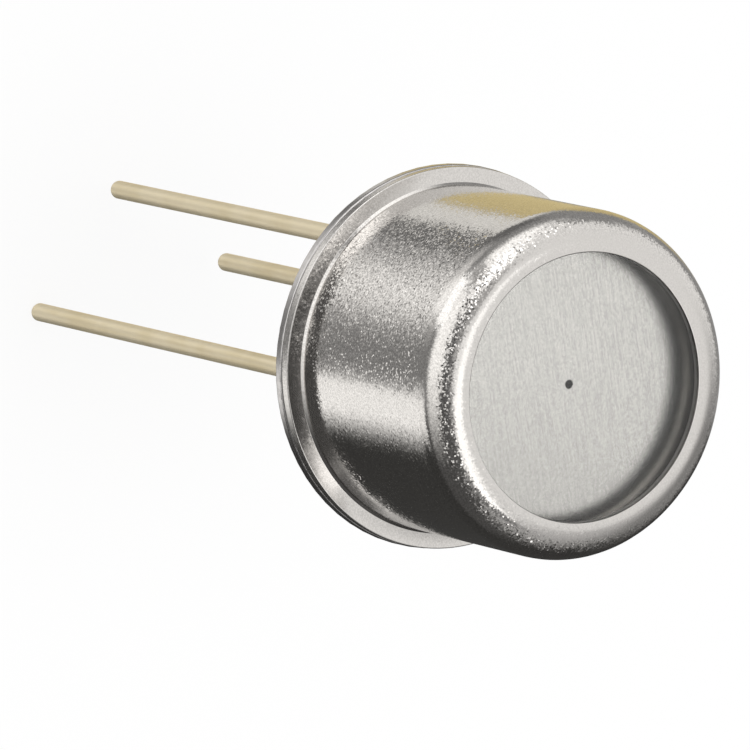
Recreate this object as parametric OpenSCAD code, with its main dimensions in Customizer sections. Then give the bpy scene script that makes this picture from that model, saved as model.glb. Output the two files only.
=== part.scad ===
// Ultraviolet photodiode in a round flanged metal can with three wire leads.
// The origin is the centre of the seat, the underside of the header flange.
// +Z points out of the window, and the leads run down from the seat along -Z.

/* [Header] */
// Diameter of the header flange
header_d = 9.2; // [8.9:0.05:10]
// Thickness of the header flange
header_t = 0.25; // [0.2:0.01:0.5]
// Rounding of the stamped edges of the header flange
header_edge_r = 0.05; // [0.02:0.01:0.09]
// Height of the platform inside the cap, above the seat
platform_h = 1.1; // [0.8:0.05:1.6]
// Gap all round between the platform and the inside of the cap
platform_gap = 0.1; // [0.05:0.01:0.3]
// Rounding of the platform's top edge
platform_edge_r = 0.2; // [0.05:0.01:0.4]
// Width of the index tab
tab_w = 0.8; // [0.6:0.05:1]
// Reach of the index tab past the flange
tab_l = 0.85; // [0.5:0.05:1.2]
// Direction of the index tab, in degrees from +X
tab_angle = 45; // [30:1:60]

/* [Leads] */
// Diameter of the lead wire
lead_d = 0.45; // [0.4:0.01:0.53]
// Diameter of the circle that the leads stand on
lead_circle_d = 5.08; // [4.8:0.02:5.4]
// Direction of the anode lead, in degrees from +X
anode_angle = 90; // [80:1:100]
// Angle from one lead to the next
lead_step = 90; // [80:1:95]
// Length of the anode lead below the seat
anode_lead_l = 14.1; // [5:0.1:38]
// Length of the case lead below the seat
case_lead_l = 14.3; // [5:0.1:38]
// Length of the cathode lead below the seat
cathode_lead_l = 14.8; // [5:0.1:38]
// Rounding of the tumbled lead ends
lead_end_r = 0.12; // [0.03:0.01:0.18]
// Height of the two bonding posts above the platform
post_h = 0.75; // [0.4:0.05:1.2]
// Depth that the welded end of the case lead goes into the header
case_weld_depth = 0.1; // [0.05:0.01:0.15]

/* [Glass seals] */
// Diameter of the glass seals round the two insulated leads
seal_d = 1.5; // [1.1:0.05:1.8]
// Depth of the glass edge behind the metal faces
seal_recess = 0.04; // [0.02:0.01:0.1]
// Depth of the hollow in the glass between the lead and the metal
seal_meniscus = 0.08; // [0.03:0.01:0.15]

/* [Cap] */
// Outer diameter of the cap's barrel
cap_d = 8.3; // [8:0.05:8.4]
// Thickness of the drawn sheet
cap_t = 0.25; // [0.2:0.01:0.3]
// Height of the cap's front face above the seat
front_h = 6.3; // [5.5:0.1:9]
// Outer radius of the drawn front corner
cap_corner_r = 0.8; // [0.5:0.05:0.85]
// Radius of the fillet between the barrel and its flange
cap_fillet_r = 0.05; // [0.03:0.01:0.2]
// Step in from the rim of the header to the rim of the cap
rim_step = 0.03; // [0.02:0.01:0.1]
// Rounding of the rim of the cap's flange
cap_rim_r = 0.03; // [0.02:0.01:0.1]
// Diameter of the punched front opening
aperture_d = 6.35; // [5:0.05:6.6]
// Rounding of the opening's front edge
aperture_edge_r = 0.03; // [0.01:0.01:0.08]

/* [Window] */
// Thickness of the window from its front to its back
window_t = 1.05; // [0.8:0.05:1.5]
// Depth of the window's front behind the cap's front face
window_recess = 0.05; // [0.03:0.01:0.15]

/* [Attenuator disc] */
// Thickness of the disc behind the window
disc_t = 0.2; // [0.1:0.05:0.4]
// Gap all round between the disc and the inside of the cap
disc_gap = 0.1; // [0.05:0.01:0.2]
// Diameter of the pinhole
pinhole_d = 0.2; // [0.1:0.01:0.6]

/* [Chip] */
// Side of the square ceramic submount
submount_w = 2.2; // [1.8:0.1:2.4]
// Thickness of the submount
submount_t = 0.4; // [0.25:0.05:0.6]
// Side of the square photodiode chip
chip_w = 1.2; // [0.6:0.1:1.4]
// Thickness of the chip
chip_t = 0.3; // [0.2:0.05:0.45]
// Distance from the chip's edge in to its wire bond
bond_inset = 0.2; // [0.1:0.05:0.25]

/* [Bond wires] */
// Diameter of the bond wires
wire_d = 0.04; // [0.03:0.01:0.08]
// Rise of a wire's loop above its higher end
loop_h = 0.35; // [0.25:0.05:0.6]
// Bend radius at the top of a wire's loop
loop_bend_r = 0.2; // [0.1:0.01:0.24]
// Diameter of the flattened foot at each end of a wire
foot_d = 0.11; // [0.1:0.01:0.2]
// Thickness of the flattened foot
foot_t = 0.03; // [0.02:0.01:0.05]

/* [Hidden] */
$fn = 96;

// How far a cutter runs past the face that it cuts
over = 0.1;

header_r = header_d / 2;
lead_r = lead_d / 2;
lead_circle_r = lead_circle_d / 2;
seal_r = seal_d / 2;
cap_r = cap_d / 2;
cap_inner_r = cap_r - cap_t;
cap_rim_out_r = header_r - rim_step;
platform_r = cap_inner_r - platform_gap;
aperture_r = aperture_d / 2;
disc_r = cap_inner_r - disc_gap;

case_angle = anode_angle + lead_step;
cathode_angle = case_angle + lead_step;

post_top = platform_h + post_h;
submount_top = platform_h + submount_t;
chip_top = submount_top + chip_t;
window_front = front_h - window_recess;
window_back = window_front - window_t;

anode_bond_r = chip_w / 2 - bond_inset;
cathode_bond_r = (chip_w + submount_w) / 4;

// What a rounding takes off the outer corner at [r, z]; side is 1 on a lower rim, -1 on an upper one
module rim_cut(r, z, round_r, side) {
  difference() {
    translate([r - round_r, side > 0 ? z - over : z - round_r])
      square([round_r + over, round_r + over]);
    translate([r - round_r, z + side * round_r])
      circle(round_r);
  }
}

// Half section of a disc from the axis out to r, with its lower and upper rims rounded
module disc_section(r, z_low, z_high, low_r, high_r) {
  difference() {
    translate([0, z_low])
      square([r, z_high - z_low]);
    if (low_r > 0)
      rim_cut(r, z_low, low_r, 1);
    if (high_r > 0)
      rim_cut(r, z_high, high_r, -1);
  }
}

// Puts a piece where the lead at that angle stands
module at_lead(angle) {
  rotate([0, 0, angle])
    translate([lead_circle_r, 0, 0])
      children();
}

module index_tab() {
  rotate([0, 0, tab_angle])
    translate([platform_r, -tab_w / 2, 0])
      cube([header_r - platform_r + tab_l, tab_w, header_t]);
}

module header() {
  color("#b4b1ab")
    difference() {
      union() {
        rotate_extrude() {
          disc_section(header_r, 0, header_t, header_edge_r, header_edge_r);
          disc_section(platform_r, 0, platform_h, 0, platform_edge_r);
        }
        index_tab();
      }
      for (angle = [anode_angle, cathode_angle])
        at_lead(angle)
          translate([0, 0, -over])
            cylinder(r = seal_r, h = platform_h + 2 * over);
      at_lead(case_angle)
        translate([0, 0, -over])
          cylinder(r = lead_r, h = case_weld_depth + over);
    }
}

// Half section of the hollow that surface tension leaves in the end of a seal; side is 1 at the top
module meniscus_section(z, side) {
  half_w = (seal_r - lead_r) / 2;
  hollow_r = (half_w * half_w + seal_meniscus * seal_meniscus) / (2 * seal_meniscus);
  edge_z = z - side * seal_recess;
  translate([lead_r + half_w, edge_z + side * (hollow_r - seal_meniscus)])
    circle(hollow_r);
  translate([lead_r - over, side > 0 ? edge_z : edge_z - seal_recess - over])
    square([seal_r - lead_r + 2 * over, seal_recess + over]);
}

module glass_seal(angle) {
  color("#5d6a6e")
    at_lead(angle)
      rotate_extrude()
        difference() {
          translate([lead_r, 0])
            square([seal_r - lead_r, platform_h]);
          meniscus_section(platform_h, 1);
          meniscus_section(0, -1);
        }
}

module seal_anode() {
  glass_seal(anode_angle);
}

module seal_cathode() {
  glass_seal(cathode_angle);
}

// A round wire from its rounded tip below the seat up to z_top
module lead(angle, length, z_top) {
  color("#cdbd93")
    at_lead(angle)
      rotate_extrude()
        disc_section(lead_r, -length, z_top, lead_end_r, 0);
}

module lead_anode() {
  lead(anode_angle, anode_lead_l, post_top);
}

module lead_case() {
  lead(case_angle, case_lead_l, case_weld_depth);
}

module lead_cathode() {
  lead(cathode_angle, cathode_lead_l, post_top);
}

// A square plate centred on the axis, standing on z
module square_plate(w, t, z) {
  translate([-w / 2, -w / 2, z])
    cube([w, w, t]);
}

module submount() {
  color("#ece8dc")
    square_plate(submount_w, submount_t, platform_h);
}

module photodiode_chip() {
  color("#3a4a5c")
    square_plate(chip_w, chip_t, submount_top);
}

// One end of a wire: a flattened foot on its pad and the leg that rises from it
module wire_leg(x, z, z_bend) {
  translate([x, 0, z]) {
    cylinder(d = foot_d, h = foot_t);
    cylinder(d = wire_d, h = z_bend - z);
  }
}

// A quarter bend about [x, z] in the XZ plane, from the given angle on
module wire_bend(x, z, from_angle) {
  translate([x, 0, z])
    rotate([90, 0, 0])
      rotate([0, 0, from_angle])
        rotate_extrude(angle = 90)
          translate([loop_bend_r, 0])
            circle(d = wire_d);
}

// A looped wire in the vertical plane at that angle, from a bond near the axis to a post's top
module bond_wire(angle, from_r, from_z, to_r, to_z) {
  loop_z = max(from_z, to_z) + loop_h;
  bend_z = loop_z - loop_bend_r;
  color("#d8b45a")
    rotate([0, 0, angle]) {
      wire_leg(from_r, from_z, bend_z);
      wire_bend(from_r + loop_bend_r, bend_z, 90);
      translate([from_r + loop_bend_r, 0, loop_z])
        rotate([0, 90, 0])
          cylinder(d = wire_d, h = to_r - from_r - 2 * loop_bend_r);
      wire_bend(to_r - loop_bend_r, bend_z, 0);
      wire_leg(to_r, to_z, bend_z);
    }
}

module bond_wire_anode() {
  bond_wire(anode_angle, anode_bond_r, chip_top, lead_circle_r, post_top);
}

module bond_wire_cathode() {
  bond_wire(cathode_angle, cathode_bond_r, submount_top, lead_circle_r, post_top);
}

module attenuator_disc() {
  color("#c8c6c2")
    translate([0, 0, window_back - disc_t])
      difference() {
        cylinder(r = disc_r, h = disc_t);
        translate([0, 0, -over])
          cylinder(d = pinhole_d, h = disc_t + 2 * over);
      }
}

// Half section of the space inside the cap, with the flare at its foot and the front opening
module cap_inside_section() {
  flare_r = cap_fillet_r + cap_t;
  disc_section(cap_inner_r, header_t - over, front_h - cap_t, 0, cap_corner_r - cap_t);
  translate([0, front_h - cap_t - over])
    square([aperture_r, cap_t + 2 * over]);
  difference() {
    translate([cap_inner_r - over, header_t - over])
      square([flare_r + over, flare_r + over]);
    translate([cap_inner_r + flare_r, header_t + flare_r])
      circle(flare_r);
  }
  difference() {
    translate([aperture_r - over, front_h - aperture_edge_r])
      square([over + aperture_edge_r, aperture_edge_r + over]);
    translate([aperture_r + aperture_edge_r, front_h - aperture_edge_r])
      circle(aperture_edge_r);
  }
}

module window() {
  color("#bcd2d8", 0.35)
    rotate_extrude()
      intersection() {
        cap_inside_section();
        translate([0, window_back])
          square([cap_r, window_t]);
      }
}

module cap() {
  flange_top = header_t + cap_t;
  color("#b9b7b4")
    rotate_extrude()
      difference() {
        union() {
          disc_section(cap_r, header_t, front_h, 0, cap_corner_r);
          disc_section(cap_rim_out_r, header_t, flange_top, cap_rim_r, cap_rim_r);
          difference() {
            translate([cap_r - over, flange_top - over])
              square([cap_fillet_r + over, cap_fillet_r + over]);
            translate([cap_r + cap_fillet_r, flange_top + cap_fillet_r])
              circle(cap_fillet_r);
          }
        }
        cap_inside_section();
      }
}

header();
seal_anode();
seal_cathode();
lead_anode();
lead_case();
lead_cathode();
submount();
photodiode_chip();
bond_wire_anode();
bond_wire_cathode();
attenuator_disc();
window();
cap();
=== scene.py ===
import bmesh
import bpy
import numpy as np
from mathutils import Matrix, Vector


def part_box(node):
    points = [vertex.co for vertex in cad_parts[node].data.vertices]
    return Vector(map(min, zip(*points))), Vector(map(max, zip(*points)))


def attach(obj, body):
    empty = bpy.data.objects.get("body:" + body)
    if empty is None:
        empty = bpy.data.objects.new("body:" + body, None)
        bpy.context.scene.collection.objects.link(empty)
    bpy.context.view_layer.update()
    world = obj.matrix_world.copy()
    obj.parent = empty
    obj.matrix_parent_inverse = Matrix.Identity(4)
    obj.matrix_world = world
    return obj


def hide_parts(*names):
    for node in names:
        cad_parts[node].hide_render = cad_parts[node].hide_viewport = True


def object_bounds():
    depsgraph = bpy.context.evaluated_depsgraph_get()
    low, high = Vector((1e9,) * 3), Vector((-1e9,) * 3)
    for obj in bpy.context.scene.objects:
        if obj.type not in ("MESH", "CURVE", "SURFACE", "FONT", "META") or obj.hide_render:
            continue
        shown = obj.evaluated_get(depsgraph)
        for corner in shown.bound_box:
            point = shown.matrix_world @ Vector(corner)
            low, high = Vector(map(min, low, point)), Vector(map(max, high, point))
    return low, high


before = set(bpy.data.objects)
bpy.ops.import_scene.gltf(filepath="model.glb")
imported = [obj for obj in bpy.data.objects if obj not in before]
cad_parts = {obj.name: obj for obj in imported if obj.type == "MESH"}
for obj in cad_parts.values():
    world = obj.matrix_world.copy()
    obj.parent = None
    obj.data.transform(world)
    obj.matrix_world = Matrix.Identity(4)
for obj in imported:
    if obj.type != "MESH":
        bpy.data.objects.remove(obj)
cad_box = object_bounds()

# Header: the steel base, plated with nickel, with its raised platform and the index tab on its rim.
# It is one stamping with two bores for the insulated leads, and the whole device is built up on it.
mm = 0.001
HEADER_NICKEL = (0.56, 0.55, 0.55, 1)
HEADER_DULL = (0.47, 0.46, 0.455, 1)
# Here and below, a pattern counts its lumps a metre, and a relief is a height in metres
HEADER_MOTTLE = 6000
HEADER_GRAIN = 15000
HEADER_RELIEF = 0.6e-6


class Tone:
    """One output of a shader node; sums with tones and numbers add Math nodes to the same tree."""

    def __init__(self, tree, socket):
        self.tree = tree
        self.socket = socket

    def make(self, kind, settings, values, output=0):
        """Adds any node from its type, settings and socket values or links, and gives one output."""
        node = self.tree.nodes.new("ShaderNode" + kind)
        for name, value in settings.items():
            setattr(node, name, value)
        for name, value in values.items():
            if isinstance(value, Tone):
                self.tree.links.new(value.socket, node.inputs[name])
            else:
                node.inputs[name].default_value = value
        return Tone(self.tree, node.outputs[output])

    def math(self, operation, first, second=0.0):
        """One Math node on two tones or numbers."""
        return self.make("Math", {"operation": operation}, {0: first, 1: second})

    def __add__(self, other):
        return self.math("ADD", self, other)

    def __radd__(self, other):
        return self.math("ADD", other, self)

    def __sub__(self, other):
        return self.math("SUBTRACT", self, other)

    def __rsub__(self, other):
        return self.math("SUBTRACT", other, self)

    def __mul__(self, other):
        return self.math("MULTIPLY", self, other)

    def __rmul__(self, other):
        return self.math("MULTIPLY", other, self)

    def step(self, low, high):
        """0 below low, 1 above high, and a smooth rise between them."""
        limits = {"Value": self, "From Min": low, "From Max": high}
        return self.make("MapRange", {"interpolation_type": "SMOOTHSTEP"}, limits)

    def between(self, first, second):
        """A colour from first, where the tone is 0, to second, where it is 1."""
        return self.make("Mix", {"data_type": "RGBA"}, {0: self, 6: first, 7: second}, 2)

    def noise(self, scale, detail=2.0, rough=0.5):
        """Noise from 0 to 1 over these coordinates, with so many lumps a metre."""
        inputs = {"Vector": self, "Scale": scale, "Detail": detail, "Roughness": rough}
        return self.make("TexNoise", {}, inputs)

    def mapped(self, turn_z=0.0, scale=(1, 1, 1)):
        """These coordinates turned about Z, then stretched along each axis."""
        turned = self.make("Mapping", {}, {"Vector": self, "Rotation": (0, 0, turn_z)})
        return turned.make("Mapping", {}, {"Vector": turned, "Scale": scale})

    def vector(self, operation, second=(0, 0, 0), third=(0, 0, 0)):
        """This vector worked with one or two more; a length or a dot product is a number."""
        output = "Value" if operation in ("LENGTH", "DOT_PRODUCT") else "Vector"
        inputs = {0: self, 1: second, 2: third}
        return self.make("VectorMath", {"operation": operation}, inputs, output)

    def scaled(self, amount):
        """This vector made longer or shorter."""
        return self.make("VectorMath", {"operation": "SCALE"}, {0: self, "Scale": amount})

    def part(self, axis):
        """The X, Y or Z of these coordinates."""
        return self.make("SeparateXYZ", {}, {"Vector": self}, axis)

    def bump(self, height):
        """A normal for a surface with relief: the tone times that height, in metres."""
        inputs = {"Height": self, "Strength": 1.0, "Distance": height}
        return self.make("Bump", {}, inputs, "Normal")


def new_finish(name):
    """A material with one Principled shader, and the Object coordinates that its pattern reads."""
    material = bpy.data.materials.new(name)
    material.use_nodes = True
    tree = material.node_tree
    coordinates = tree.nodes.new("ShaderNodeTexCoord")
    return material, Tone(tree, coordinates.outputs["Object"])


def set_finish(material, **values):
    """Sets or links the Principled shader's sockets; a socket's name has _ for each space."""
    shader = material.node_tree.nodes["Principled BSDF"]
    for name, value in values.items():
        socket = shader.inputs[name.replace("_", " ")]
        if isinstance(value, Tone):
            material.node_tree.links.new(value.socket, socket)
        else:
            socket.default_value = value


def wear(piece, material):
    """The piece gets that one material."""
    piece.data.materials.clear()
    piece.data.materials.append(material)


header_finish, place = new_finish("header_nickel")
dull = place.noise(HEADER_MOTTLE, 4).step(0.3, 0.75)
grain = place.noise(HEADER_GRAIN)
set_finish(
    header_finish,
    Base_Color=dull.between(HEADER_NICKEL, HEADER_DULL),
    Metallic=1.0,
    Roughness=0.2 + 0.06 * dull,
    Normal=grain.bump(HEADER_RELIEF),
)
wear(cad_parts["header"], header_finish)

# Glass seals: a bead of dark grey glass fused round each insulated lead in its bore.
# The molten glass climbs the metal on both sides, so each end is left hollow, as a meniscus.
SEAL_NODES = ("seal_anode", "seal_cathode")
SEAL_HOLLOW = 0.08 * mm
SEAL_TURNS = 72
SEAL_POINTS = 17
SEAL_CLOUDS = 6000
SEAL_GLASS = (0.055, 0.075, 0.075, 1)
SEAL_CLOUD = (0.10, 0.125, 0.12, 1)
GLASS_IOR = 1.5
POLE_MERGE = 1e-9


def grid_faces(rows, columns, closed):
    """The quads of a grid whose rows wrap round, and whose columns do too if it is closed."""
    row = np.arange(rows)[:, None]
    column = np.arange(columns if closed else columns - 1)[None]
    next_row = (row + 1) % rows
    next_column = (column + 1) % columns
    corners = [row * columns + column, next_row * columns + column]
    corners += [next_row * columns + next_column, row * columns + next_column]
    return np.stack(np.broadcast_arrays(*corners), axis=-1).reshape(-1, 4)


def outward(points, faces):
    """The faces, turned round if the volume they enclose, summed from the origin, is negative."""
    a, b, c, d = (points[faces[:, i]] for i in range(4))
    volume = (np.cross(a, b) * c).sum() + (np.cross(a, c) * d).sum()
    return faces if volume > 0 else faces[:, ::-1]


def shell(outline, turns, centre=(0.0, 0.0), closed=True):
    """An outline of (radius, height) carried round an upright axis: x = r cos a, y = r sin a and
    z = height. A closed outline gives a ring; an open one starts and ends on the axis."""
    angle = np.linspace(0, 2 * np.pi, turns, endpoint=False)[:, None]
    radius, height = np.asarray(outline, float).T
    points = np.stack([
        centre[0] + radius * np.cos(angle),
        centre[1] + radius * np.sin(angle),
        np.broadcast_to(height, (turns, len(height))),
    ], axis=-1)
    points = points.reshape(-1, 3)
    return points, outward(points, grid_faces(turns, len(height), closed))


def new_piece(name, surfaces, material, sharp_angle=40):
    """One mesh object made of the surfaces, each of them points and quads. Points that meet at a
    pole are merged, and only edges past the sharp angle, in degrees, stay sharp."""
    starts = np.cumsum([0] + [len(points) for points, _ in surfaces])
    points = np.concatenate([points for points, _ in surfaces])
    faces = np.concatenate([faces + start for (_, faces), start in zip(surfaces, starts)])
    mesh = bpy.data.meshes.new(name)
    mesh.from_pydata(points.tolist(), [], faces.tolist())
    merged = bmesh.new()
    merged.from_mesh(mesh)
    bmesh.ops.remove_doubles(merged, verts=merged.verts, dist=POLE_MERGE)
    merged.to_mesh(mesh)
    merged.free()
    mesh.shade_smooth()
    mesh.set_sharp_from_angle(angle=np.radians(sharp_angle))
    piece = bpy.data.objects.new(name, mesh)
    bpy.context.scene.collection.objects.link(piece)
    wear(piece, material)
    return piece


def stands_for(piece, slot, *nodes):
    """The piece rides on the body and is shown instead of those nodes; the slot is not used."""
    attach(piece, "root")
    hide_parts(*nodes)


def middle(node):
    """Where a node's upright axis stands, as X and Y."""
    low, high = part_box(node)
    return (low.x + high.x) / 2, (low.y + high.y) / 2


def half_width(node):
    """Half a node's size along X: the radius of a round one."""
    low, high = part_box(node)
    return (high.x - low.x) / 2


seal_finish, place = new_finish("seal_glass")
cloud = place.noise(SEAL_CLOUDS, 3).step(0.4, 0.7)
set_finish(
    seal_finish,
    Base_Color=cloud.between(SEAL_GLASS, SEAL_CLOUD),
    Roughness=0.08 + 0.1 * cloud,
    IOR=GLASS_IOR,
    Coat_Weight=0.3,
)
# Each end dips as a parabola: by nothing at the two metals, and by the full hollow halfway between
for node in SEAL_NODES:
    low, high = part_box(node)
    inner, outer = half_width("lead_anode"), half_width(node)
    across = np.linspace(-1, 1, SEAL_POINTS)
    radius = (inner + outer) / 2 + across * (outer - inner) / 2
    dip = SEAL_HOLLOW * (1 - across**2)
    bottom = np.stack([radius, low.z + dip], 1)
    top = np.stack([radius, high.z - dip], 1)[::-1]
    bead = shell(np.concatenate([bottom, top]), SEAL_TURNS, middle(node))
    piece = new_piece("glass_" + node, [bead], seal_finish)
    stands_for(piece, "seal_glass", node)

# Leads: three straight wires of iron-nickel alloy, plated with pale gold, their ends tumbled round.
# Two pass through the glass and end as posts inside.
# The case lead is butt welded to the header's underside.
LEAD_NODES = ("lead_anode", "lead_case", "lead_cathode")
LEAD_TIP_ROUND = 0.16 * mm
LEAD_TURNS = 64
LEAD_WEAR = 900
DRAWN_LINES = (9000, 9000, 300)
DRAWN_RELIEF = 0.4e-6
PALE_GOLD = (0.86, 0.77, 0.57, 1)
WORN_GOLD = (0.79, 0.69, 0.47, 1)
BESIDE_ARC = 0.12


def rounded(corners, arc_points=10):
    """An outline from its corners (x, y, radius): each becomes an arc that touches both stretches.
    Seen from its centre, the arc blends its two ends by the sines of the angle to go and gone.
    Close beside it each stretch gets one more point, so that a flat wall shades flat all over."""
    outline = []
    places = np.array([corner[:2] for corner in corners], float)
    for i, (_, _, radius) in enumerate(corners):
        here = places[i]
        if radius == 0:
            outline.append(here[None])
            continue
        back = places[i - 1] - here
        on = places[(i + 1) % len(places)] - here
        back = back / np.linalg.norm(back)
        on = on / np.linalg.norm(on)
        half = np.arccos(back @ on) / 2
        reach = radius / np.tan(half)
        centre = here + (back + on) / np.linalg.norm(back + on) * radius / np.sin(half)
        sweep = np.pi - 2 * half
        share = np.linspace(0, 1, arc_points)[:, None]
        first = here + back * reach - centre
        last = here + on * reach - centre
        blend = np.sin((1 - share) * sweep) * first + np.sin(share * sweep) * last
        arc = centre + blend / np.sin(sweep)
        beside = BESIDE_ARC * radius
        outline += [(arc[0] + back * beside)[None], arc, (arc[-1] + on * beside)[None]]
    return np.concatenate(outline)


lead_finish, place = new_finish("lead_gold")
drawn = place.mapped(scale=DRAWN_LINES).noise(1, 3)
worn = (0.6 * place.noise(LEAD_WEAR, 3) + 0.4 * drawn).step(0.4, 0.65)
set_finish(
    lead_finish,
    Base_Color=worn.between(PALE_GOLD, WORN_GOLD),
    Metallic=0.75,
    Roughness=0.5 + 0.1 * drawn,
    Normal=drawn.bump(DRAWN_RELIEF),
)
for node in LEAD_NODES:
    low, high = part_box(node)
    radius = half_width(node)
    outline = rounded([
        (0, low.z, 0), (radius, low.z, LEAD_TIP_ROUND), (radius, high.z, 0), (0, high.z, 0),
    ])
    wire = shell(outline, LEAD_TURNS, middle(node), closed=False)
    piece = new_piece("wire_" + node, [wire], lead_finish)
    stands_for(piece, "gold_lead", node)

# Submount: a square plate of white alumina glued on the platform's middle, its surface as fired.
# The chip is soldered on its top, and one bond wire lands on its plating.
ALUMINA = (0.80, 0.78, 0.72, 1)
ALUMINA_SHADE = (0.70, 0.68, 0.62, 1)
ALUMINA_GRAIN = 20000
ALUMINA_RELIEF = 1.5e-6
submount_finish, place = new_finish("alumina")
speck = place.noise(ALUMINA_GRAIN, 3).step(0.35, 0.7)
set_finish(
    submount_finish,
    Base_Color=speck.between(ALUMINA, ALUMINA_SHADE),
    Roughness=0.6 + 0.15 * speck,
    Normal=speck.bump(ALUMINA_RELIEF),
)
wear(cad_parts["submount"], submount_finish)

# Photodiode chip: a sawn square of semiconductor, its dark window in a gold contact frame.
# It is soldered to the submount, with the anode wire bonded on the frame.
CHIP_WINDOW = (0.02, 0.025, 0.06, 1)
CHIP_BODY = (0.10, 0.11, 0.13, 1)
CHIP_GOLD = (0.83, 0.66, 0.33, 1)
CHIP_WINDOW_HALF = 0.36 * mm
CHIP_FRAME_HALF = 0.48 * mm
CHIP_EDGE = 0.004 * mm
CHIP_POLISH = 30000
chip_finish, place = new_finish("chip")
outwards = place.vector("ABSOLUTE")
reach = outwards.math("MAXIMUM", outwards.part("X"), outwards.part("Y"))
in_frame = reach.step(CHIP_WINDOW_HALF - CHIP_EDGE, CHIP_WINDOW_HALF + CHIP_EDGE)
past_frame = reach.step(CHIP_FRAME_HALF - CHIP_EDGE, CHIP_FRAME_HALF + CHIP_EDGE)
set_finish(
    chip_finish,
    Base_Color=past_frame.between(in_frame.between(CHIP_WINDOW, CHIP_GOLD), CHIP_BODY),
    Metallic=in_frame - past_frame,
    Roughness=0.15 + 0.1 * place.noise(CHIP_POLISH),
)
wear(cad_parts["photodiode_chip"], chip_finish)

# Bond wires: two fine gold wires looped from the chip and the submount to the tops of the posts.
# Each end is pressed flat into a round foot by the bonding tool.
WIRE_NODES = ("bond_wire_anode", "bond_wire_cathode")
WIRE_R = 0.02 * mm
WIRE_BEND_R = 0.2 * mm
FOOT_R = 0.055 * mm
FOOT_T = 0.03 * mm
WIRE_SIDES = 16
FOOT_TURNS = 32
SMALL_ARC_POINTS = 5
WIRE_GOLD = (0.86, 0.66, 0.28, 1)
WIRE_GOLD_DEEP = (0.74, 0.53, 0.20, 1)
WIRE_MOTTLE = 9000


def tube(path, radius, sides):
    """A round wire along a path in the YZ plane: each ring is radius * (cos a X + sin a N), where N
    lies in that plane, across the path. Both ends are closed by a pole on the path."""
    run = np.gradient(path, axis=0)
    run = run / np.linalg.norm(run, axis=1, keepdims=True)
    across = np.stack([np.zeros(len(path)), -run[:, 2], run[:, 1]], 1)
    angle = np.linspace(0, 2 * np.pi, sides, endpoint=False)[:, None, None]
    rings = path + radius * (np.cos(angle) * np.array([1.0, 0, 0]) + np.sin(angle) * across)
    ends = [np.repeat(path[None, :1], sides, 0), rings, np.repeat(path[None, -1:], sides, 0)]
    points = np.concatenate(ends, axis=1)
    faces = grid_faces(sides, points.shape[1], closed=False)
    points = points.reshape(-1, 3)
    return points, outward(points, faces)


wire_finish, place = new_finish("bond_gold")
deep = place.noise(WIRE_MOTTLE)
set_finish(
    wire_finish,
    Base_Color=deep.between(WIRE_GOLD, WIRE_GOLD_DEEP),
    Metallic=1.0,
    Roughness=0.22 + 0.1 * deep,
)
post_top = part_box("lead_anode")[1].z
for node in WIRE_NODES:
    low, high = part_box(node)
    side = 1 if high.y > 0 else -1
    from_y, to_y = sorted((abs(low.y), abs(high.y)))
    from_y, to_y = side * (from_y + FOOT_R), side * (to_y - FOOT_R)
    top = high.z - WIRE_R
    hoop = rounded([
        (from_y, low.z, 0), (from_y, top, WIRE_BEND_R),
        (to_y, top, WIRE_BEND_R), (to_y, post_top, 0),
    ])
    path = np.column_stack([np.zeros(len(hoop)), hoop])
    feet = []
    for y, z in ((from_y, low.z), (to_y, post_top)):
        foot = rounded([
            (0, z, 0), (FOOT_R, z, 0), (FOOT_R, z + FOOT_T, FOOT_T / 2), (0, z + FOOT_T, 0),
        ], SMALL_ARC_POINTS)
        feet.append(shell(foot, FOOT_TURNS, (0.0, y), closed=False))
    piece = new_piece("gold_" + node, [tube(path, WIRE_R, WIRE_SIDES)] + feet, wire_finish)
    stands_for(piece, "bond_wire", node)

# Attenuator disc: a thin brushed metal disc with a fine hole drilled in its middle.
# It is cemented to the window's back, and only the pinhole's share of the light reaches the chip.
# Its colour is painted a little darker towards one side: painted shade, standing in for its
# reflection growing dimmer there.
PINHOLE_R = 0.1 * mm
DISC_EDGE = 0.012 * mm
DISC_TURNS = 192
DISC_METAL = (0.672, 0.661, 0.641, 1)
DISC_STREAK = (0.555, 0.546, 0.529, 1)
# Painted shade: the colour the disc is darkened towards on one side, the share of it, and the side's
# angle and span
DISC_PAINTED_SHADE = (0.40, 0.392, 0.378, 1)
PAINTED_SHADE_SHARE = 0.4
PAINTED_SHADE_SIDE = np.radians(-26.4)
PAINTED_SHADE_FROM, PAINTED_SHADE_TO = -1 * mm, 4 * mm
BRUSH_ANGLE = np.radians(-1.3)
BRUSH_LINES = (900, 21000, 1)
BRUSH_RELIEF = 0.2e-6
DISC_GRAIN = 17000
DISC_RELIEF = 1.4e-6
disc_finish, place = new_finish("brushed_disc")
brushed = place.mapped(-BRUSH_ANGLE, BRUSH_LINES).noise(1, 4, 0.6)
speckled = place.noise(DISC_GRAIN, 2, 0.6)
streak = (0.52 * brushed + 0.48 * speckled).step(0.38, 0.62)
# Painted shade: the base colour darkens towards one side of the disc, where its reflection is dimmer
painted_shade = place.mapped(-PAINTED_SHADE_SIDE).part("X").step(PAINTED_SHADE_FROM, PAINTED_SHADE_TO)
metal = streak.between(DISC_METAL, DISC_STREAK)
set_finish(
    disc_finish,
    Base_Color=(PAINTED_SHADE_SHARE * painted_shade).between(metal, DISC_PAINTED_SHADE),
    Metallic=1.0,
    Roughness=0.2 + 0.08 * brushed,
    Normal=(BRUSH_RELIEF * brushed + DISC_RELIEF * speckled).bump(1.0),
)
low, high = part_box("attenuator_disc")
disc_r = half_width("attenuator_disc")
outline = rounded([
    (PINHOLE_R, low.z, DISC_EDGE), (disc_r, low.z, DISC_EDGE),
    (disc_r, high.z, DISC_EDGE), (PINHOLE_R, high.z, DISC_EDGE),
], SMALL_ARC_POINTS)
disc = new_piece("brushed_disc", [shell(outline, DISC_TURNS)], disc_finish)
stands_for(disc, "brushed_disc", "attenuator_disc")

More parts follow.
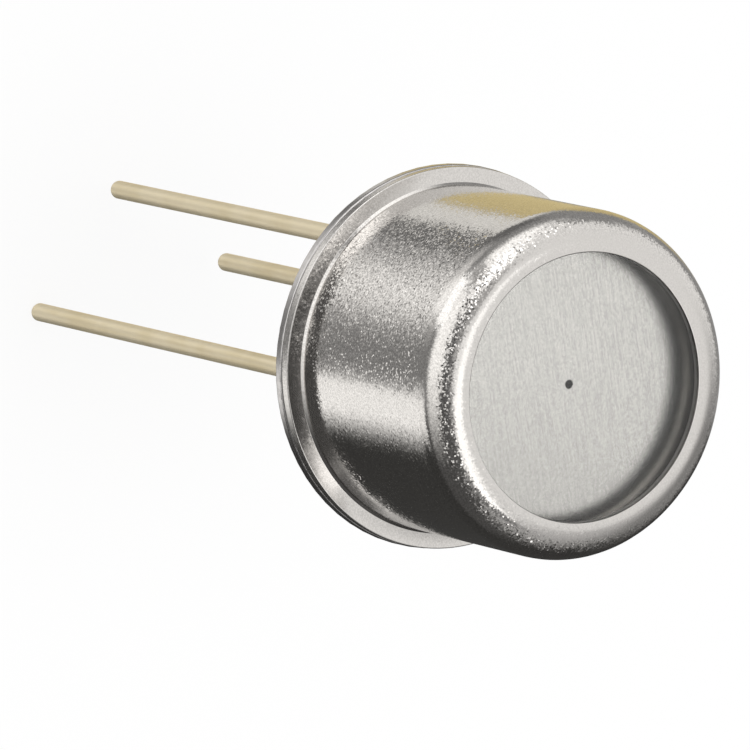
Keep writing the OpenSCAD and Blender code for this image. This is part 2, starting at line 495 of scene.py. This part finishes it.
# Window: a pane of clear glass, fused into the cap from behind so that it fills the front opening.
# Its edge follows the inside of the cap's corner, and its back carries the disc.
CAP_WALL = 0.25 * mm
CAP_CORNER_R = 0.8 * mm
APERTURE_R = 3.175 * mm
WINDOW_BITE = 0.005 * mm
WINDOW_TURNS = 192
WINDOW_SHARP = 30
WINDOW_CLEAR = (0.99, 1.0, 0.995, 1)
window_finish, _ = new_finish("window_glass")
set_finish(
    window_finish,
    Base_Color=WINDOW_CLEAR,
    Roughness=0.0,
    IOR=GLASS_IOR,
    Transmission_Weight=1.0,
)
low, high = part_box("window")
window_r = half_width("window") + WINDOW_BITE
shoulder_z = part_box("cap")[1].z - CAP_WALL + WINDOW_BITE
outline = rounded([
    (0, low.z - WINDOW_BITE, 0), (window_r, low.z - WINDOW_BITE, 0),
    (window_r, shoulder_z, CAP_CORNER_R - CAP_WALL),
    (APERTURE_R + WINDOW_BITE, shoulder_z, 0), (APERTURE_R + WINDOW_BITE, high.z, 0),
    (0, high.z, 0),
])
pane = shell(outline, WINDOW_TURNS, closed=False)
window = new_piece("window_pane", [pane], window_finish, WINDOW_SHARP)
stands_for(window, "window_glass", "window")

# Cap: a can drawn from thin nickel-plated steel; its dished flange is welded to the header's.
# Drawing leaves a grain of tilted facets, rough in one patch and coarsest at the stretched corner.
# In the opening the metal keeps the dark oxide that the glass was fused to.
CAP_FOOT = 0.055 * mm
CAP_FOOT_R = 0.015 * mm
CAP_RIM_R = 0.03 * mm
FLANGE_CURVE = 320.0
FLANGE_POINTS = 9
APERTURE_EDGE_R = 0.03 * mm
CAP_ARC_POINTS = 14
CAP_TURNS = 360
CAP_NICKEL = (0.86, 0.841, 0.819, 1)
CAP_DULL = (0.44, 0.430, 0.418, 1)
CAP_OXIDE = (0.165, 0.160, 0.154, 1)
CAP_SPECKS = 24000
CAP_MOTTLE = 1200
# The sides of the rough patch and of the corner's most stretched part, and where each begins
ROUGH_SIDE = np.radians(226.6)
ROUGH_FROM, ROUGH_TO = 3.5 * mm, 3.85 * mm
STRETCHED_SIDE = np.radians(268.6)
STRETCHED_FROM, STRETCHED_TO = -1.5 * mm, 1 * mm
FLANGE_FADE = 0.3 * mm
# The grain's facets, their largest tilt, and the shares of it that each zone adds
CAP_GRAINS = 27000
CAP_TILT = 0.40
TILT_EVERYWHERE = 0.16
TILT_ROUGH_PATCH = 0.5
TILT_CORNER = 0.4
TILT_STRETCHED = 0.75
low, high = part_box("cap")
cap_rim_r = half_width("cap")
cap_inner_r = half_width("window")
cap_r = cap_inner_r + CAP_WALL
flange_top = low.z + CAP_WALL
front_z = high.z
# The flange's slope grows evenly inwards, so its height grows with the square of the way in
flange_r = np.linspace(cap_rim_r - 2 * CAP_RIM_R, cap_r + 1.2 * CAP_FOOT, FLANGE_POINTS)
way_in = flange_r[0] - flange_r
flange_rise = FLANGE_CURVE * way_in**2 / 2
foot_slope = FLANGE_CURVE * way_in[-1]
foot_rise = flange_rise[-1] + foot_slope * (flange_r[-1] - cap_r - CAP_FOOT)
flange_z = flange_top - foot_rise + flange_rise
cap_outline = rounded([
    (cap_inner_r, low.z, CAP_FOOT + CAP_WALL),
    (cap_rim_r, low.z, CAP_RIM_R),
    (cap_rim_r, flange_z[0], CAP_RIM_R),
    *((r, z, 0) for r, z in zip(flange_r, flange_z)),
    (cap_r + CAP_FOOT, flange_top, CAP_FOOT_R),
    (cap_r, flange_top + CAP_FOOT, CAP_FOOT_R),
    (cap_r, front_z, CAP_CORNER_R),
    (APERTURE_R, front_z, APERTURE_EDGE_R),
    (APERTURE_R, front_z - CAP_WALL, 0),
    (cap_inner_r, front_z - CAP_WALL, CAP_CORNER_R - CAP_WALL),
], CAP_ARC_POINTS)
cap_finish, place = new_finish("cap_nickel")
radius = place.vector("MULTIPLY", (1, 1, 0)).vector("LENGTH")
along = place.part("Z")
# Both counted in corner radii: the height over the front face, and the way in from the barrel
over_front = (along - front_z) * (1 / CAP_CORNER_R)
from_barrel = (cap_r - radius) * (1 / CAP_CORNER_R)
on_corner = over_front.step(-1.2, -0.6)
on_front = from_barrel.step(0.3, 0.8) * on_corner
on_flange = 1 - along.step(flange_top, flange_top + FLANGE_FADE)
rough_patch = place.mapped(-ROUGH_SIDE).part("X").step(ROUGH_FROM, ROUGH_TO)
rough_patch = rough_patch * (1 - over_front.step(-1.25, -0.8))
most_stretched = place.mapped(-STRETCHED_SIDE).part("X").step(STRETCHED_FROM, STRETCHED_TO)
stretched = over_front.step(-0.38, -0.18)
coarse = TILT_EVERYWHERE + TILT_ROUGH_PATCH * rough_patch
coarse = coarse + stretched * (TILT_CORNER + TILT_STRETCHED * most_stretched)
coarse = coarse * (1 - 0.9 * on_front) * (1 - 0.75 * on_flange)
# Each facet leans from -1 to 1 along each axis; the fifth power leaves most of them nearly upright
facet = place.make("TexVoronoi", {}, {"Vector": place, "Scale": CAP_GRAINS}, "Color")
lean = facet.vector("MULTIPLY_ADD", (2, 2, 2), (-1, -1, -1))
squared = lean.vector("MULTIPLY", lean)
lean = lean.vector("MULTIPLY", squared).vector("MULTIPLY", squared)
upright = place.make("NewGeometry", {}, {}, "Normal")
leaning = upright.vector("ADD", lean.scaled(CAP_TILT * coarse))
plain = (0.6 + 0.4 * rough_patch) * (1 - 0.8 * on_front - 0.6 * on_flange)
speck = (place.noise(CAP_SPECKS, 2, 0.65) - 0.5) * plain + 0.5
metal = speck.step(0.28, 0.72).between(CAP_NICKEL, CAP_DULL)
dull = place.noise(CAP_MOTTLE, 4).step(0.35, 0.7)
on_rim = (radius - cap_rim_r).step(-0.8 * CAP_RIM_R, -0.2 * CAP_RIM_R)
in_bore = 1 - (radius - APERTURE_R).step(0.3 * APERTURE_EDGE_R, 0.6 * APERTURE_EDGE_R)
set_finish(
    cap_finish,
    Base_Color=in_bore.between(metal, CAP_OXIDE),
    Metallic=1.0,
    Roughness=0.10 + 0.05 * dull + 0.3 * in_bore + 0.12 * on_rim,
    Normal=leaning.vector("NORMALIZE"),
)
cap = new_piece("cap_shell", [shell(cap_outline, CAP_TURNS)], cap_finish)
stands_for(cap, "nickel_cap", "cap")

# Camera: a long lens looking down on the front from the side, rolled so that the leads run left.
# It stands far off, so that the can is hardly foreshortened, and aims just under the seat.
VIEW_AZIMUTH = np.radians(-26.363)
VIEW_ELEVATION = np.radians(57.115)
VIEW_ROLL = np.radians(102.877)
VIEW_AIM = Vector((0.1879, -1.4138, -0.7651)) * mm
VIEW_DISTANCE = 250.0 * mm
VIEW_LENS = 504.76
VIEW_NEAREST = 10 * mm
VIEW_FARTHEST = 10.0
toward_camera = Vector((
    np.sin(VIEW_AZIMUTH) * np.cos(VIEW_ELEVATION),
    -np.cos(VIEW_AZIMUTH) * np.cos(VIEW_ELEVATION),
    np.sin(VIEW_ELEVATION),
))
level_right = Vector((0, 0, 1)).cross(toward_camera).normalized()
level_up = toward_camera.cross(level_right)
image_right = level_right * np.cos(VIEW_ROLL) + level_up * np.sin(VIEW_ROLL)
image_up = level_up * np.cos(VIEW_ROLL) - level_right * np.sin(VIEW_ROLL)
camera_data = bpy.data.cameras.new("camera")
camera_data.lens = VIEW_LENS
camera_data.clip_start = VIEW_NEAREST
camera_data.clip_end = VIEW_FARTHEST
camera = bpy.data.objects.new("camera", camera_data)
camera.matrix_world = Matrix((image_right, image_up, toward_camera)).transposed().to_4x4()
camera.location = VIEW_AIM + toward_camera * VIEW_DISTANCE
bpy.context.scene.collection.objects.link(camera)
bpy.context.scene.camera = camera

# Floor: a plain white sheet under the lead tips, which keeps a faint shadow of the part.
# Most of its white is its own near the part, and all of it far off, so that no horizon shows.
FLOOR_HALF = 3.0
FLOOR_OWN_WHITE = 0.85
FLOOR_SHADE_END = 40 * mm
FLOOR_WHITE_FROM = 160 * mm
FLOOR_WHITE = (0.96, 0.96, 0.96, 1)
PURE_WHITE = (1, 1, 1, 1)
floor_z = cad_box[0].z
corners = np.array([(-1, -1), (1, -1), (1, 1), (-1, 1)]) * FLOOR_HALF
floor_mesh = bpy.data.meshes.new("floor")
floor_points = np.column_stack([corners, np.full(4, floor_z)])
floor_mesh.from_pydata(floor_points.tolist(), [], [(0, 1, 2, 3)])
floor = bpy.data.objects.new("floor", floor_mesh)
bpy.context.scene.collection.objects.link(floor)
floor_finish, place = new_finish("floor_white")
floor_tree = floor_finish.node_tree
diffuse = place.make("BsdfDiffuse", {}, {"Color": FLOOR_WHITE})
glow = place.make("Emission", {}, {"Color": PURE_WHITE, "Strength": 1.0})
seen = place.make("LightPath", {}, {}, "Is Camera Ray")
far = place.vector("LENGTH").step(FLOOR_SHADE_END, FLOOR_WHITE_FROM)
own_white = FLOOR_OWN_WHITE + (1 - FLOOR_OWN_WHITE) * far
mixed = place.make("MixShader", {}, {0: seen * own_white, 1: diffuse, 2: glow})
floor_tree.links.new(mixed.socket, floor_tree.nodes["Material Output"].inputs["Surface"])
wear(floor, floor_finish)
floor.visible_glossy = False
floor.visible_transmission = False

# Light tent: a white dome round the part, seen only in its metal and glass, with cards hung in it.
# Dark flags give the metal its dark bands, tan cards a warm one, and soft boxes the brightest ones.
TENT_R = 0.6
TENT_WHITE = (1.0, 0.985, 0.965, 1)
CARD_TAN = (0.66, 0.54, 0.28, 1)
CARD_GREY = (0.33, 0.325, 0.32, 1)
CARD_DARK = (0.18, 0.177, 0.175, 1)
CARD_BRIGHT = (1.2, 1.18, 1.15, 1)
CARD_BRIGHTER = (1.65, 1.63, 1.6, 1)
TENT_RINGS = 48
TENT_TURNS = 96
CAMERA_SIDE = np.arctan2(toward_camera.y, toward_camera.x)
JUST_UNDER_ONE = 0.999999
# Each card in degrees: its turn from the camera's side, half its width and how soft its sides are,
# its lower and its upper edge and how soft they are; then its colour
TENT_CARDS = {
    "far_shade": (138, 34, 8, 0, 56, 6, (0.60, 0.59, 0.58, 1)),
    "black_flag": (98, 84, 8, -95, 26, 26, (0.05, 0.049, 0.047, 1)),
    "black_flag_top": (70, 34, 12, -10, 46, 6, (0.09, 0.088, 0.086, 1)),
    "flag_fade": (170, 18, 16, -12, 34, 15, (0.30, 0.295, 0.29, 1)),
    "grey_floor_back": (-157, 22, 4, -95, -5, 8, CARD_GREY),
    "grey_floor": (-80, 57, 6, -95, -1, 8, CARD_GREY),
    "shelf_notch": (-112, 14, 7, -8, 13, 6, (0.34, 0.335, 0.33, 1)),
    "grey_panel": (-2, 32, 6, -95, -6, 12, (0.27, 0.265, 0.26, 1)),
    "grey_strip": (-83, 13, 6, -95, -20, 8, (0.18, 0.177, 0.174, 1)),
    "tan_card": (-135, 19, 6, -95, -29, 6, CARD_TAN),
    "tan_card_low": (-155, 11, 5, -95, -43, 7, CARD_TAN),
    "pale_card": (-103, 12, 4, -95, -42, 7, (0.86, 0.84, 0.80, 1)),
    "near_strip": (-37, 20, 20, -95, -24, 6, (0.98, 0.96, 0.933, 1)),
    "near_strip_core": (-32, 10, 9, -55, -24, 4, (1.35, 1.33, 1.3, 1)),
    "low_strip_fade": (48, 12, 12, -95, -52, 5, CARD_BRIGHT),
    "low_strip": (39, 10, 4, -95, -53, 4, CARD_BRIGHT),
    "low_strip_middle": (38, 14, 9, -55, -41, 4, (1.25, 1.23, 1.2, 1)),
    "low_strip_top": (34, 12, 8, -43, -16, 5, CARD_BRIGHT),
    "front_fade": (10, 27, 26, -4, 39, 8, (1.15, 1.13, 1.1, 1)),
    "front_soft_box": (-12, 24, 8, 0, 37.5, 7, (1.36, 1.34, 1.31, 1)),
    "bright_strip": (-29, 15, 4, -24, 7, 5, CARD_BRIGHTER),
    "side_soft_box": (-72, 18, 10, 6, 36, 7, (1.5, 1.48, 1.45, 1)),
    "side_soft_box_top": (-63, 19, 6, 33, 58, 4, (2.3, 2.27, 2.24, 1)),
    "front_post": (-48, 6, 3, 0, 42, 4, (0.48, 0.47, 0.46, 1)),
    "grey_canopy": (-16, 94, 14, 64, 82, 6, (0.50, 0.49, 0.48, 1)),
    "black_cloth": (27, 63, 7, 45, 68, 4, (0.14, 0.137, 0.135, 1)),
    "cloth_border": (20, 70, 6, 61, 68, 3, CARD_DARK),
    "cloth_drop": (52, 34, 12, 36, 60, 6, (0.11, 0.108, 0.106, 1)),
    "far_lip": (112, 20, 8, 45, 57, 3, CARD_DARK),
    "far_soft_box": (123, 15, 6, 57, 72, 3, (2.1, 2.07, 2.04, 1)),
    "top_soft_box": (150, 55, 14, 64, 95, 4, CARD_BRIGHTER),
    "top_light": (0, 181, 2, 82, 95, 4, (1.2, 1.185, 1.165, 1)),
}
sweep = np.linspace(0, np.pi, TENT_RINGS)
tent_outline = np.stack([np.sin(sweep), -np.cos(sweep)], 1) * TENT_R
tent_finish, place = new_finish("tent_white")
height = place.vector("NORMALIZE").part("Z")
rise = height.math("ARCSINE", height)
level = place.vector("MULTIPLY", (1, 1, 0)).vector("NORMALIZE")
colour = TENT_WHITE
for turn, half, fade, bottom, top, soft, tone in TENT_CARDS.values():
    facing = CAMERA_SIDE + np.radians(turn)
    heading = (np.cos(facing), np.sin(facing), 0)
    towards = level.vector("DOT_PRODUCT", heading)
    off = towards.math("ARCCOSINE", towards.math("MINIMUM", towards, JUST_UNDER_ONE))
    half, fade, bottom, top, soft = np.radians((half, fade, bottom, top, soft))
    inside = 1 - off.step(half - fade, half + fade)
    inside = inside * rise.step(bottom - soft, bottom + soft)
    inside = inside * (1 - rise.step(top - soft, top + soft))
    colour = inside.between(colour, tone)
glow = place.make("Emission", {}, {"Color": colour, "Strength": 1.0})
tent_tree = tent_finish.node_tree
tent_tree.links.new(glow.socket, tent_tree.nodes["Material Output"].inputs["Surface"])
tent_finish.cycles.emission_sampling = "NONE"
tent = new_piece("light_tent", [shell(tent_outline, TENT_TURNS, closed=False)], tent_finish)
tent.visible_camera = False
tent.visible_diffuse = False
tent.visible_shadow = False

# Light: one broad soft lamp overhead for the shadow, and a plain white world all round.
# The world is pure white to the camera, metal and glass, and a little less as light on the part.
LAMP_SIZE = 120 * mm
LAMP_HEIGHT = 220 * mm
LAMP_POWER = 0.12
WORLD_FILL = 0.85
lamp_data = bpy.data.lights.new("overhead_lamp", "AREA")
lamp_data.shape = "DISK"
lamp_data.size = LAMP_SIZE
lamp_data.energy = LAMP_POWER
lamp = bpy.data.objects.new("overhead_lamp", lamp_data)
lamp.location = (0, 0, LAMP_HEIGHT)
lamp.visible_glossy = False
bpy.context.scene.collection.objects.link(lamp)
world = bpy.data.worlds.new("studio_white")
world.use_nodes = True
world_tree = world.node_tree
sky = Tone(world_tree, world_tree.nodes["Background"].outputs[0])
shown = sky.make("LightPath", {}, {}, "Is Camera Ray")
for ray in ("Is Glossy Ray", "Is Transmission Ray"):
    shown = shown + sky.make("LightPath", {}, {}, ray)
strength = WORLD_FILL + (1 - WORLD_FILL) * shown.math("MINIMUM", shown, 1.0)
world_tree.nodes["Background"].inputs["Color"].default_value = PURE_WHITE
world_tree.links.new(strength.socket, world_tree.nodes["Background"].inputs["Strength"])
bpy.context.scene.world = world
bpy.context.scene.view_settings.view_transform = "Standard"
